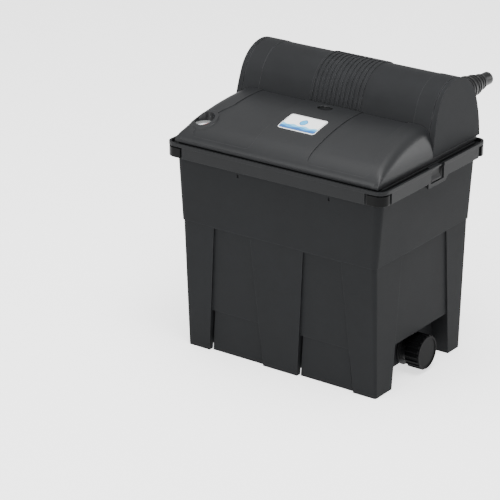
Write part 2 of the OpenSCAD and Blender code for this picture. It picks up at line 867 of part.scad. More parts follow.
module quartz_clamp() {
    color("#303234") difference() {
        rod_x(uv_left - 2, uv_left + 7, uv_y, uv_z, quartz_r + 10);
        rod_x(uv_left - 3, uv_left + 8, uv_y, uv_z, quartz_r);
        rod_x(uv_left + 0.9, uv_left + 4.1, uv_y, uv_z, quartz_r + 3.2);
    }
}

module uv_lamp() {
    limb = 4.2;
    end = uv_right - 42;
    color("#eef3f5") {
        for (s = [-1, 1]) {
            rod_x(uv_left + 6, end, uv_y, uv_z + s * (limb + 0.7), limb);
            translate([end, uv_y, uv_z + s * (limb + 0.7)]) sphere(limb);
        }
        rod_z(uv_z - limb, uv_z + limb, end - 4, uv_y, 2);
        rod_x(uv_left - 10, uv_left + 6, uv_y, uv_z, quartz_r - 2);
    }
}

module lamp_socket() {
    color("#e8e4d8") difference() {
        rod_x(uv_left - 24, uv_left - 4, uv_y, uv_z, quartz_r + 2);
        rod_x(uv_left - 10, uv_left - 3, uv_y, uv_z, quartz_r - 2);
    }
}

module uv_head() {
    left = -163;
    color("#2a2c2e") difference() {
        union() {
            rod_x(left + 4, uv_left - 3, uv_y, uv_z, housing_r + 2);
            translate([left + 4, uv_y, uv_z]) rotate([0, -90, 0])
                cylinder(h = 4, r1 = housing_r + 2, r2 = housing_r - 2);
        }
        rod_x(left + 6, uv_left, uv_y, uv_z, housing_r - 1.5);
        rod_y(uv_y, far, gland_x, gland_z, 7);
    }
}

module locking_ring() {
    outer = housing_r + 8;
    color("#333538") difference() {
        union() {
            rod_x(uv_left - 12, uv_left + 12, uv_y, uv_z, outer);
            for (i = [0 : 11])
                translate([uv_left - 12, uv_y, uv_z]) rotate([30 * i, 0, 0])
                    box([0, -2.5, outer - 1], [24, 2.5, outer + 1.6]);
        }
        rod_x(uv_left - 13, uv_left - 2.7, uv_y, uv_z, housing_r + 2.4);
        rod_x(uv_left - 3, uv_left + 8.4, uv_y, uv_z, housing_r + 4.4);
        rod_x(uv_left + 8, uv_left + 13, uv_y, uv_z, housing_r + 0.4);
    }
}

module cable_gland() {
    color("#232527") difference() {
        union() {
            rod_y(uv_y + housing_r - 7, uv_y + housing_r + 20, gland_x, gland_z, 7);
            rod_y(uv_y + housing_r + 2.2, uv_y + housing_r + 6, gland_x, gland_z, 9, $fn = 6);
        }
        rod_y(uv_y + housing_r - 8, uv_y + housing_r + 21, gland_x, gland_z, 3.6);
    }
}

module gland_nut() {
    y0 = uv_y + housing_r + 8;
    color("#232527") difference() {
        union() {
            rod_y(y0, y0 + 14, gland_x, gland_z, 9, $fn = 6);
            translate([gland_x, y0 + 14, gland_z]) rotate([-90, 0, 0]) cylinder(h = 5, r1 = 8.6, r2 = 6);
        }
        rod_y(y0 - 1, y0 + 12, gland_x, gland_z, 7);
        rod_y(y0, y0 + 20, gland_x, gland_z, 3.6);
    }
}

// ---------- inlet connection ----------

module tail_gasket() {
    color("#1c1c1c") difference() {
        rod_y(elbow_end, elbow_end + 2, tail_x, tail_z, elbow_r + 3);
        rod_y(elbow_end - 1, elbow_end + 3, tail_x, tail_z, elbow_bore);
    }
}

function tail_y(i) = i == 0 ? tail_start : tail_y(i - 1) + tail_steps[i - 1][1];

module hose_tail() {
    color("#313336") difference() {
        union() {
            rod_y(elbow_end + 2, tail_start, tail_x, tail_z, elbow_r + 3);
            rod_y(tail_start, tail_y(1), tail_x, tail_z, tail_steps[0][0] - 1);
            for (i = [0 : 3]) {
                step = tail_steps[i];
                rod_y(tail_y(i), tail_y(i) + step[1], tail_x, tail_z, step[0] - (i < 3 ? 1 : 0));
                // barbs: short cones that widen towards the nut
                if (i < 3) for (k = [0 : 2])
                    translate([tail_x, tail_y(i) + step[1] - 0.4 - k * 6, tail_z]) rotate([90, 0, 0])
                        cylinder(h = 4.6, r1 = step[0] - 1, r2 = step[0]);
            }
        }
        rod_y(elbow_end + 1, tail_y(2), tail_x, tail_z, 10);
        rod_y(tail_y(2) - 1, tail_y(3) + 30, tail_x, tail_z, 7.5);
    }
}

module union_nut() {
    outer = 23.4;
    y0 = elbow_end - 11;
    color("#3c3e41") difference() {
        union() {
            rod_y(y0, tail_start + 4, tail_x, tail_z, outer);
            for (a = [0 : 30 : 330])
                translate([tail_x, y0, tail_z]) rotate([-90, 0, 0]) rotate([0, 0, a])
                    box([outer - 1, -2, 1], [outer + 1, 2, 17]);
        }
        rod_y(y0 - 1, tail_start + 0.3, tail_x, tail_z, elbow_r + 3.35);
        rod_y(y0, tail_start + 5, tail_x, tail_z, tail_steps[0][0] - 0.6);
    }
}

// ---------- one solid set per node ----------

tank();
rim_collar();
corner_bumpers();
support_grid();
left_partition();
right_partition();
outlet_pipe();
outlet_gasket();
outlet_nut();
drain_neck();
drain_neck_nut();
drain_gasket();
drain_cap();
latch_pins();
right_latch();
left_latch();
coarse_foam();
medium_foam();
fine_foam();
coarse_holder();
medium_holder();
fine_holder();
lid();
lid_seal();
label_plate();
thermometer_dial();
thermometer_needle();
thermometer_lens();
thermometer_stem();
hood_button();
button_spring_seat();
hood();
uv_housing();
quartz_tube();
quartz_seal();
quartz_clamp();
uv_lamp();
lamp_socket();
uv_head();
locking_ring();
cable_gland();
gland_nut();
housing_screws();
tail_gasket();
hose_tail();
union_nut();
inlet_spout();
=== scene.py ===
import json
import math

import bmesh
import bpy
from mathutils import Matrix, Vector, noise


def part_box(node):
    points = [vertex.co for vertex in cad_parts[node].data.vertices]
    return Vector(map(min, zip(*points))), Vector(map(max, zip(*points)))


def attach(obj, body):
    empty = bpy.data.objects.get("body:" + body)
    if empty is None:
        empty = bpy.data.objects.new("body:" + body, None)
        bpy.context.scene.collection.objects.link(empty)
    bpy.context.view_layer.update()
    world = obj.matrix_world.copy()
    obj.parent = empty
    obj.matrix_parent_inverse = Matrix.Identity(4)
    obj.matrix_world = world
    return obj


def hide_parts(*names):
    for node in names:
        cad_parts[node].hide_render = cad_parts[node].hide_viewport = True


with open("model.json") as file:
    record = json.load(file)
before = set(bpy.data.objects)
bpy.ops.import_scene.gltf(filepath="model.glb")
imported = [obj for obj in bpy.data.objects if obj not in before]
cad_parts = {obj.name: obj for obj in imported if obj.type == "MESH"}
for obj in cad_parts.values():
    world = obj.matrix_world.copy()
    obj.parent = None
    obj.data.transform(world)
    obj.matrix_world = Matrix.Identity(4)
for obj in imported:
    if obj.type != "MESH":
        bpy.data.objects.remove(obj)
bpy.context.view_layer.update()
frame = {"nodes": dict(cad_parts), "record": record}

scene = bpy.context.scene
MM = 0.001

# thermometer well: x and y of its middle, its radius, and the low boss around it
WELL = (-0.1515, -0.094)
WELL_R = 15 * MM
BOSS_R = 20.4 * MM
BOSS_LIFT = 1.4 * MM        # the most that the boss stands above the barrel, measured upright
DIAL_R = 10.6 * MM

LABEL_CENTRE = (-0.003, -0.0565)
LABEL_HALF = (0.032, 0.0195)
LABEL_CORNER = 4 * MM

# barrel of the lid: two arcs, each with its middle in y and z
CROWN = (0.016, 0.046)
CROWN_R = 0.330
NOSE = (-0.0695, 0.27346)   # the tighter arc at the front
NOSE_R = 0.087
BARREL_JOINT = -0.1001      # y at which the two arcs meet

# ends of the lid: at LID_HALF on the flange, leaning in by END_LEAN over END_RISE
LID_HALF = 0.1765
DECK_Z = 0.3332             # top of the lid's flange
END_LEAN = 0.023
END_RISE = 0.0508
END_POWER = 1.7

# round between the barrel and its ends
LID_ROUND = 11 * MM
LID_ROUND_FADE = 15 * MM    # height over which it grows to its full radius
ROUND_START = 0.1465        # nothing nearer to the middle than this |x| belongs to it
NO_ROUND = 0.05 * MM        # a smaller radius is left as an edge
TINY_ROUND = 0.3 * MM       # under this radius each face keeps to its own side
BARREL_SLACK = 0.14 * MM    # how far the CAD's flat facets may lie off the curves they stand for
END_SLACK = (-0.25 * MM, 0.1 * MM)
WALL_SLACK = 0.12 * MM


# ---------------------------------------------------------------- node helpers

def add(tree, kind, inputs=None, **props):
    """A shader node; inputs are values or sockets to link."""
    n = tree.nodes.new(kind)
    for key, value in props.items():
        setattr(n, key, value)
    for key, value in (inputs or {}).items():
        if isinstance(value, bpy.types.NodeSocket):
            tree.links.new(value, n.inputs[key])
        else:
            n.inputs[key].default_value = value
    return n


def new_material(name):
    m = bpy.data.materials.new(name)
    m.use_nodes = True
    return m, m.node_tree, m.node_tree.nodes["Principled BSDF"]


def math_node(tree, operation, a, b=0.0, c=0.0, clamp=False):
    return add(tree, "ShaderNodeMath", {0: a, 1: b, 2: c}, operation=operation, use_clamp=clamp).outputs[0]


def remap(tree, value, a0, a1, b0, b1):
    return add(tree, "ShaderNodeMapRange", {0: value, 1: a0, 2: a1, 3: b0, 4: b1}).outputs[0]


def mix_colour(tree, factor, a, b):
    n = add(tree, "ShaderNodeMix", {0: factor}, data_type="RGBA")
    for key, value in ((6, a), (7, b)):
        if isinstance(value, bpy.types.NodeSocket):
            tree.links.new(value, n.inputs[key])
        else:
            n.inputs[key].default_value = value
    return n.outputs[2]


def noise_fac(tree, where, scale, detail=2.0, rough=0.5):
    return add(tree, "ShaderNodeTexNoise",
               {"Vector": where, "Scale": scale, "Detail": detail, "Roughness": rough}).outputs[0]


def length(tree, x, y):
    squares = math_node(tree, "ADD", math_node(tree, "MULTIPLY", x, x), math_node(tree, "MULTIPLY", y, y))
    return math_node(tree, "SQRT", squares)


def rgba(rgb):
    return (*rgb, 1.0)


# ---------------------------------------------------------------- materials

def end_radius(t, where, ends, small):
    """Radius of the moulded rounds: bigger near a leaning end and above its foot, small elsewhere.
    The end stands at |x| = half at the foot and leans in by lean over rise, with the given power."""
    half, foot, lean, rise, power, big = ends
    xyz = add(t, "ShaderNodeSeparateXYZ", {0: where}).outputs
    k = math_node(t, "MAXIMUM", math_node(t, "DIVIDE", math_node(t, "SUBTRACT", xyz[2], foot), rise), 0.0)
    end = math_node(t, "SUBTRACT", half, math_node(t, "MULTIPLY", lean, math_node(t, "POWER", k, power)))
    inside = math_node(t, "SUBTRACT", end, math_node(t, "ABSOLUTE", xyz[0]))
    side = remap(t, inside, (big + 3) * MM, (big + 1) * MM, 0.0, 1.0)
    high = remap(t, xyz[2], foot + 2.5 * MM, foot + 4.5 * MM, 0.0, 1.0)
    # the thermometer well keeps its crisp rim
    reach = length(t, math_node(t, "SUBTRACT", xyz[0], WELL[0]), math_node(t, "SUBTRACT", xyz[1], WELL[1]))
    clear_of_well = remap(t, reach, WELL_R + 2 * MM, WELL_R + 4 * MM, 0.0, 1.0)
    share = math_node(t, "MULTIPLY", math_node(t, "MULTIPLY", side, high), clear_of_well)
    return remap(t, share, 0.0, 1.0, small * MM, big * MM)


def plastic(name, rgb, rough, grain=0.25, mottle=0.07, edge=0.5, spec=0.2, wear_and_highlight=0.42, ends=None):
    """Moulded plastic: fine eroded grain, faint flow marks, edges rounded by the mould (to a radius of
    edge mm) and made lighter there by a painted highlight that also stands for a little rubbing.
    ends describes leaning ends with another round; see end_radius."""
    m, t, b = new_material(name)
    where = add(t, "ShaderNodeTexCoord").outputs["Object"]
    fine = noise_fac(t, where, 1500, 2)
    pits = noise_fac(t, where, 620, 1)
    broad = noise_fac(t, where, 9, 3, 0.6)
    flow = noise_fac(t, where, 45, 4, 0.65)
    tone = math_node(t, "MULTIPLY", remap(t, broad, 0.3, 0.7, 1 - mottle, 1 + mottle),
                     remap(t, flow, 0.3, 0.7, 1 - mottle / 2, 1 + mottle / 2))
    base = add(t, "ShaderNodeHueSaturation", {"Value": tone, "Color": rgba(rgb)}).outputs[0]
    # painted highlight on the edges, partly also rubbing: where a wide and a narrow edge normal part
    soft = add(t, "ShaderNodeBevel", {"Radius": 1.3 * MM}, samples=4).outputs[0]
    geo = add(t, "ShaderNodeNewGeometry").outputs["Normal"]
    dot = add(t, "ShaderNodeVectorMath", {0: soft, 1: geo}, operation="DOT_PRODUCT").outputs["Value"]
    worn_and_highlit = math_node(t, "MULTIPLY", remap(t, dot, 0.985, 0.80, 0.0, wear_and_highlight),
                     remap(t, flow, 0.35, 0.6, 0.45, 1.0))
    lit = tuple(min(1.0, c * 2.8 + 0.012) for c in rgb)
    t.links.new(mix_colour(t, worn_and_highlit, base, rgba(lit)), b.inputs["Base Color"])
    uneven = math_node(t, "ADD", remap(t, broad, 0.3, 0.7, -0.035, 0.035),
                       remap(t, fine, 0.3, 0.7, -0.05, 0.05))
    t.links.new(math_node(t, "ADD", uneven, rough, clamp=True), b.inputs["Roughness"])
    height = math_node(t, "ADD", math_node(t, "MULTIPLY", fine, 0.6), math_node(t, "MULTIPLY", pits, 0.6))
    radius = end_radius(t, where, ends, edge) if ends else edge * MM
    edged = add(t, "ShaderNodeBevel", {"Radius": radius}, samples=6).outputs[0]
    bump = add(t, "ShaderNodeBump",
               {"Strength": grain, "Distance": 0.12 * MM, "Height": height, "Normal": edged})
    t.links.new(bump.outputs[0], b.inputs["Normal"])
    b.inputs["Specular IOR Level"].default_value = spec
    return m


def rubber(name, rgb):
    m, t, b = new_material(name)
    where = add(t, "ShaderNodeTexCoord").outputs["Object"]
    dust = noise_fac(t, where, 160, 4, 0.7)
    dusty = mix_colour(t, remap(t, dust, 0.45, 0.75, 0.0, 0.25), rgba(rgb), (0.09, 0.09, 0.088, 1))
    t.links.new(dusty, b.inputs["Base Color"])
    t.links.new(remap(t, dust, 0.3, 0.7, 0.62, 0.85), b.inputs["Roughness"])
    bump = add(t, "ShaderNodeBump",
               {"Strength": 0.3, "Distance": 0.1 * MM, "Height": noise_fac(t, where, 900)})
    t.links.new(bump.outputs[0], b.inputs["Normal"])
    return m


def steel(name):
    m, t, b = new_material(name)
    where = add(t, "ShaderNodeTexCoord").outputs["Object"]
    stretched = add(t, "ShaderNodeMapping", {"Vector": where, "Scale": (1800, 1800, 90)}).outputs[0]
    lines = noise_fac(t, stretched, 1, 3)
    b.inputs["Metallic"].default_value = 1.0
    t.links.new(mix_colour(t, lines, (0.42, 0.43, 0.44, 1), (0.66, 0.67, 0.68, 1)), b.inputs["Base Color"])
    t.links.new(remap(t, lines, 0.3, 0.7, 0.24, 0.42), b.inputs["Roughness"])
    bump = add(t, "ShaderNodeBump", {"Strength": 0.15, "Distance": 0.05 * MM, "Height": lines})
    t.links.new(bump.outputs[0], b.inputs["Normal"])
    return m


def clear(name, rgb, rough=0.03, alpha=0.25):
    """Thin clear wall: mostly seen through, with sharp reflections and a few faint wipes."""
    m, t, b = new_material(name)
    where = add(t, "ShaderNodeTexCoord").outputs["Object"]
    wipes = noise_fac(t, where, 70, 5, 0.7)
    b.inputs["Base Color"].default_value = rgba(rgb)
    t.links.new(remap(t, wipes, 0.4, 0.8, rough, rough + 0.12), b.inputs["Roughness"])
    t.links.new(remap(t, wipes, 0.4, 0.8, alpha, alpha + 0.05), b.inputs["Alpha"])
    b.inputs["Specular IOR Level"].default_value = 0.8
    return m


def foam_material(name, rgb, cell):
    """Open-cell foam: pores darkened by painted shade between light struts, at the given cell size in mm."""
    m, t, b = new_material(name)
    where = add(t, "ShaderNodeTexCoord").outputs["Object"]
    cells = add(t, "ShaderNodeTexVoronoi", {"Vector": where, "Scale": 1000 / cell, "Randomness": 0.95},
                feature="DISTANCE_TO_EDGE").outputs["Distance"]
    fine = add(t, "ShaderNodeTexVoronoi", {"Vector": where, "Scale": 2300 / cell, "Randomness": 1.0},
               feature="DISTANCE_TO_EDGE").outputs["Distance"]
    pore = math_node(t, "MULTIPLY", remap(t, cells, 0.04, 0.24, 0.0, 1.0),
                     remap(t, fine, 0.03, 0.2, 0.45, 1.0))
    broad = noise_fac(t, where, 22, 4, 0.6)
    light = tuple(min(1.0, c * 1.5 + 0.02) for c in rgb)
    # painted shade: the pores are coloured darker for the shade that falls inside them
    dark = tuple(c * 0.22 for c in rgb)
    strut = mix_colour(t, remap(t, broad, 0.3, 0.7, 0.0, 1.0), rgba(light), rgba(rgb))
    t.links.new(mix_colour(t, pore, strut, rgba(dark)), b.inputs["Base Color"])
    b.inputs["Roughness"].default_value = 0.92
    b.inputs["Sheen Weight"].default_value = 0.25
    b.inputs["Specular IOR Level"].default_value = 0.2
    bump = add(t, "ShaderNodeBump", {"Strength": 0.9, "Distance": 0.6 * MM,
                                     "Height": math_node(t, "SUBTRACT", 1.0, pore)})
    t.links.new(bump.outputs[0], b.inputs["Normal"])
    return m


def rounded_box_distance(t, x, y, cx, cy, hx, hy, r):
    """Signed distance to a rounded rectangle in the plane of two coordinates."""
    dx = math_node(t, "SUBTRACT", math_node(t, "ABSOLUTE", math_node(t, "SUBTRACT", x, cx)), hx - r)
    dy = math_node(t, "SUBTRACT", math_node(t, "ABSOLUTE", math_node(t, "SUBTRACT", y, cy)), hy - r)
    out = length(t, math_node(t, "MAXIMUM", dx, 0.0), math_node(t, "MAXIMUM", dy, 0.0))
    inside = math_node(t, "MINIMUM", math_node(t, "MAXIMUM", dx, dy), 0.0)
    return math_node(t, "SUBTRACT", math_node(t, "ADD", out, inside), r)


def below(t, value, limit, soft=0.15 * MM):
    """1 where value is under the limit, with a soft edge."""
    return remap(t, value, limit + soft, limit - soft, 0.0, 1.0)


def between(t, value, low, high):
    """1 where value is between two limits, with soft edges."""
    over_low = math_node(t, "SUBTRACT", 1.0, below(t, value, low))
    return math_node(t, "MULTIPLY", below(t, value, high), over_low)


NAVY = (0.008, 0.10, 0.32, 1)
WAVES = ((-7.0, (0.16, 0.52, 0.78, 1)), (-10.2, (0.03, 0.27, 0.58, 1)), (-13.4, NAVY))   # level in mm, colour


def label_material(name, centre, half):
    """White film with a thin dark outline, a water drop and three waves: no letters."""
    m, t, b = new_material(name)
    where = add(t, "ShaderNodeTexCoord").outputs["Object"]
    xyz = add(t, "ShaderNodeSeparateXYZ", {0: where}).outputs
    x, y = xyz[0], xyz[1]
    cx, cy = centre
    edge = rounded_box_distance(t, x, y, cx, cy, half[0], half[1], LABEL_CORNER)
    outline = between(t, edge, -1.5 * MM, -0.9 * MM)
    paper = noise_fac(t, where, 300, 3)
    colour = mix_colour(t, remap(t, paper, 0.3, 0.7, 0.0, 0.2), (0.93, 0.94, 0.94, 1), (0.84, 0.86, 0.87, 1))
    # waves across the lower third
    for i, (level, tint) in enumerate(WAVES):
        phase = math_node(t, "ADD", math_node(t, "MULTIPLY", x, 2 * math.pi / ((19 + 4 * i) * MM)), 1.3 * i)
        crest = math_node(t, "MULTIPLY", math_node(t, "SINE", phase), 1.15 * MM)
        surface = math_node(t, "ADD", crest, cy + level * MM)
        mask = below(t, math_node(t, "SUBTRACT", y, surface), 0.0)
        colour = mix_colour(t, mask, colour, tint)
    # drop: a disc with a pointed top
    dx = math_node(t, "ABSOLUTE", math_node(t, "SUBTRACT", x, cx))
    dy = math_node(t, "SUBTRACT", y, cy + 3.5 * MM)
    up = math_node(t, "MAXIMUM", dy, 0.0)
    narrowed = math_node(t, "ADD", dx, math_node(t, "MULTIPLY", up, 0.42))
    squeezed = math_node(t, "MULTIPLY", dy, 0.78)
    d = length(t, narrowed, squeezed)
    colour = mix_colour(t, below(t, d, 6.4 * MM), colour, NAVY)
    colour = mix_colour(t, below(t, d, 5.3 * MM), colour, (0.05, 0.38, 0.70, 1))
    outside = math_node(t, "SUBTRACT", 1.0, below(t, edge, -1.5 * MM))
    colour = mix_colour(t, outside, colour, (0.90, 0.91, 0.91, 1))
    t.links.new(mix_colour(t, outline, colour, (0.03, 0.035, 0.04, 1)), b.inputs["Base Color"])
    t.links.new(remap(t, paper, 0.3, 0.7, 0.26, 0.40), b.inputs["Roughness"])
    b.inputs["Coat Weight"].default_value = 0.35
    b.inputs["Coat Roughness"].default_value = 0.1
    return m


def dial_material(name, centre, radius):
    """White dial with a ring of ticks and a blue and a red zone."""
    m, t, b = new_material(name)
    where = add(t, "ShaderNodeTexCoord").outputs["Object"]
    xyz = add(t, "ShaderNodeSeparateXYZ", {0: where}).outputs
    x = math_node(t, "SUBTRACT", xyz[0], centre[0])
    y = math_node(t, "SUBTRACT", xyz[1], centre[1])
    r = length(t, x, y)
    angle = math_node(t, "ARCTAN2", x, y)
    used = below(t, math_node(t, "ABSOLUTE", angle), math.radians(128), 0.01)

    def ticks(count, inner, outer, share):
        steps = math_node(t, "MULTIPLY", angle, count / (2 * math.pi))
        turn = math_node(t, "FRACT", math_node(t, "ADD", steps, 0.5))
        near = below(t, math_node(t, "ABSOLUTE", math_node(t, "SUBTRACT", turn, 0.5)), share, 0.01)
        band = between(t, r, radius * inner, radius * outer)
        return math_node(t, "MULTIPLY", math_node(t, "MULTIPLY", near, band), used)

    ring = math_node(t, "MULTIPLY", between(t, r, radius * 0.86, radius * 0.93), used)
    zone = remap(t, angle, -2.2, 2.2, 0.0, 1.0)
    colour = mix_colour(t, zone, (0.08, 0.28, 0.62, 1), (0.70, 0.10, 0.06, 1))
    specks = noise_fac(t, where, 500, 2)
    white = mix_colour(t, remap(t, specks, 0.3, 0.7, 0.0, 0.15), (0.93, 0.93, 0.92, 1), (0.82, 0.83, 0.83, 1))
    colour = mix_colour(t, ring, white, colour)
    colour = mix_colour(t, below(t, r, radius), (0.006, 0.006, 0.0065, 1), colour)
    marks = math_node(t, "MAXIMUM", ticks(60, 0.74, 0.83, 0.09), ticks(12, 0.62, 0.83, 0.035))
    t.links.new(mix_colour(t, marks, colour, (0.02, 0.02, 0.022, 1)), b.inputs["Base Color"])
    b.inputs["Roughness"].default_value = 0.35
    return m


def lamp_material(name):
    m, t, b = new_material(name)
    where = add(t, "ShaderNodeTexCoord").outputs["Object"]
    haze = noise_fac(t, where, 60, 3)
    t.links.new(mix_colour(t, haze, (0.88, 0.91, 0.93, 1), (0.72, 0.78, 0.82, 1)), b.inputs["Base Color"])
    t.links.new(remap(t, haze, 0.3, 0.7, 0.06, 0.18), b.inputs["Roughness"])
    b.inputs["Transmission Weight"].default_value = 0.35
    return m


# leaning ends: half width and level at the foot, lean, rise, power, and the radius there in mm
LID_ENDS = (LID_HALF, DECK_Z, END_LEAN, END_RISE, END_POWER, 1.0)
HOOD_ENDS = (0.1762, 0.3335, 0.0042, 0.101, 1.0, 2.4)
MATERIALS = {
    "tank_plastic": plastic("tank_plastic", (0.0098, 0.0103, 0.0110), 0.60, grain=0.30, spec=0.05),
    "collar_plastic": plastic("collar_plastic", (0.0080, 0.0084, 0.0090), 0.46, grain=0.22, spec=0.10),
    "bumper_plastic": plastic("bumper_plastic", (0.0012, 0.0013, 0.0014), 0.10,
                              grain=0.03, mottle=0.03, spec=0.07),
    "lid_plastic": plastic("lid_plastic", (0.0125, 0.0131, 0.0140), 0.42, grain=0.26, edge=0.4,
                           ends=LID_ENDS),
    "hood_plastic": plastic("hood_plastic", (0.0178, 0.0184, 0.0194), 0.52, grain=0.28, edge=0.4,
                            spec=0.03, wear_and_highlight=0.9, ends=HOOD_ENDS),
    "dark_plastic": plastic("dark_plastic", (0.0068, 0.0070, 0.0074), 0.36, grain=0.12, spec=0.15, wear_and_highlight=0.6),
    "cap_plastic": plastic("cap_plastic", (0.0026, 0.0027, 0.0029), 0.36, grain=0.12, spec=0.03, wear_and_highlight=0.6),
    "grid_plastic": plastic("grid_plastic", (0.045, 0.048, 0.050), 0.5, grain=0.2),
    "blue_plastic": plastic("blue_plastic", (0.012, 0.085, 0.30), 0.36, grain=0.1, spec=0.4),
    "rubber": rubber("rubber", (0.014, 0.014, 0.015)),
    "steel": steel("steel"),
    "blue_foam": foam_material("blue_foam", (0.025, 0.085, 0.30), 3.2),
    "red_foam": foam_material("red_foam", (0.34, 0.035, 0.028), 2.2),
    "purple_foam": foam_material("purple_foam", (0.15, 0.05, 0.23), 1.5),
    "label": label_material("label", LABEL_CENTRE, LABEL_HALF),
    "dial": dial_material("dial", WELL, DIAL_R),
    "needle": plastic("needle", (0.50, 0.02, 0.015), 0.3, grain=0.02, mottle=0.03, spec=0.4),
    "lens": clear("lens", (0.96, 0.98, 0.98), 0.02, 0.10),
    "quartz": clear("quartz", (0.88, 0.94, 0.96), 0.03, 0.22),
    "lamp": lamp_material("lamp"),
    "ceramic": plastic("ceramic", (0.66, 0.64, 0.58), 0.34, grain=0.1, mottle=0.03, spec=0.4),
}
SLOT_OF = {s["node"]: s["material_slot"] for s in frame["record"]["subparts"]}
BODY_OF = {n: b for b, names in frame["record"]["behaviour"]["bodies"].items() for n in names}


# ---------------------------------------------------------------- pieces

def finish_mesh(mesh, smooth):
    """Smooth shading that stays sharp at edges steeper than smooth degrees."""
    for p in mesh.polygons:
        p.use_smooth = True
    mesh.set_sharp_from_angle(angle=math.radians(smooth))


# pieces whose finish differs a little from the others in their slot
FINISH_OF = {"drain_cap_detailed": "cap_plastic"}


def place(name, mesh, body, material_slot, replaced=()):
    o = bpy.data.objects.new(name, mesh)
    scene.collection.objects.link(o)
    mesh.materials.clear()
    mesh.materials.append(MATERIALS[FINISH_OF.get(name, material_slot)])
    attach(o, body)
    if replaced:
        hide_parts(*replaced)
    return o


def spread_of(bm):
    """The least and the greatest coordinate along each axis."""
    co = [v.co for v in bm.verts]
    return [f(c[i] for c in co) for i in range(3) for f in (min, max)]


def bevel(bm, edges, width, segments):
    if edges:
        bmesh.ops.bevel(bm, geom=edges, offset=width * MM, offset_type="OFFSET", segments=segments,
                        profile=0.5, affect="EDGES", clamp_overlap=True, material=-1, loop_slide=True)


def clean_copy(name):
    """The node's mesh with its triangles merged back into flat faces."""
    bm = bmesh.new()
    bm.from_mesh(frame["nodes"][name].data)
    bmesh.ops.remove_doubles(bm, verts=bm.verts, dist=0.002 * MM)
    bmesh.ops.dissolve_limit(bm, angle_limit=math.radians(0.4), use_dissolve_boundaries=False,
                             verts=bm.verts, edges=bm.edges, delimit=set())
    bmesh.ops.recalc_face_normals(bm, faces=bm.faces)
    return bm


def sharp_edges(bm, angle):
    limit = math.radians(angle)
    return [e for e in bm.edges if e.is_manifold and e.calc_face_angle(0.0) > limit]


def refine(name, width, segments=2, angle=30, shape=None):
    """A copy of a CAD node with its edges rounded as a mould rounds them.
    With a width of 0 the rounds come from the material alone. shape, used for the lid, changes the mesh."""
    bm = clean_copy(name)
    before = spread_of(bm)
    if shape:
        shape(bm)
    saved = bm.copy()
    if width:
        bevel(bm, sharp_edges(bm, angle), width, segments)
    after = spread_of(bm)
    if max(abs(a - b) for a, b in zip(before, after)) > 0.3 * MM:
        bm = saved      # the bevel has thrown a corner out of the piece
    mesh = bpy.data.meshes.new(name + "_detailed")
    bm.to_mesh(mesh)
    finish_mesh(mesh, 32)
    o = place(name + "_detailed", mesh, BODY_OF[name], SLOT_OF[name], (name,))
    if shape:
        set_lid_normals(mesh)
    else:
        o.modifiers.new("weighted", "WEIGHTED_NORMAL").keep_sharp = True


# ---------------------------------------------------------------- lid

def barrel(y):
    """Height of the lid's barrel at y, and the y and z of its normal there."""
    cy, cz, r = (*CROWN, CROWN_R) if y > BARREL_JOINT else (*NOSE, NOSE_R)
    dy = max(-0.95 * r, y - cy)     # stops short of where the arc is upright
    dz = math.sqrt(r * r - dy * dy)
    return cz + dz, dy / r, dz / r


def lid_end(z):
    """Half width of the lid at z, and how fast it changes."""
    k = max(0.0, (z - DECK_Z) / END_RISE)
    half = LID_HALF - END_LEAN * k ** END_POWER
    slope = -END_LEAN * END_POWER * k ** (END_POWER - 1) / END_RISE
    return half, slope


def well_reach(co):
    """Distance from the middle of the well, seen from above."""
    return math.hypot(co.x - WELL[0], co.y - WELL[1])


def boss_lift(co):
    """How far a point of the boss around the well stands above the barrel."""
    if well_reach(co) > BOSS_R + 0.1 * MM:
        return 0.0
    return min(BOSS_LIFT, max(0.0, co.z - barrel(co.y)[0]))


def on_barrel(v):
    return abs(v.co.z - boss_lift(v.co) - barrel(v.co.y)[0]) < BARREL_SLACK


def on_end(v):
    off = abs(v.co.x) - lid_end(v.co.z)[0]
    return END_SLACK[0] < off < END_SLACK[1] and v.co.z > DECK_Z - 0.01 * MM


def cut_faces(bm, test, point, normal):
    """Cuts the faces all of whose corners pass the test along a plane."""
    faces = [f for f in bm.faces if all(test(v) for v in f.verts)]
    geom = faces + list({e for f in faces for e in f.edges}) + list({v for f in faces for v in f.verts})
    bmesh.ops.bisect_plane(bm, geom=geom, dist=0.01 * MM, plane_co=point, plane_no=normal)


def ramp(share):
    """From 0 to 1 with soft starts at both sides."""
    share = min(1.0, max(0.0, share))
    return share * share * (3 - 2 * share)


def lid_round(co, lift=0.0):
    """How far a point stands out of the round between barrel and end, the round's radius,
    and the outward directions of the round and of the end there.
    The round fades out towards the flange. lift is the height above the barrel that is allowed."""
    height, ny, nz = barrel(co.y)
    height += lift
    half, slope = lid_end(co.z)
    side = math.copysign(1.0, co.x)
    lean = 1 / math.hypot(1, slope)
    r = LID_ROUND * ramp((co.z - DECK_Z) / LID_ROUND_FADE)
    top, end = Vector((0, ny, nz)), Vector((side * lean, 0, -slope * lean))
    a = (co.z - height) * nz + r
    b = (abs(co.x) - half) * lean + r
    if b <= 0 or r < NO_ROUND:
        return 0.0, r, top, end
    if a <= 0:
        return 0.0, r, end, end
    g = (top * a + end * b) / math.hypot(a, b)
    return math.hypot(a, b) - r, r, g, end


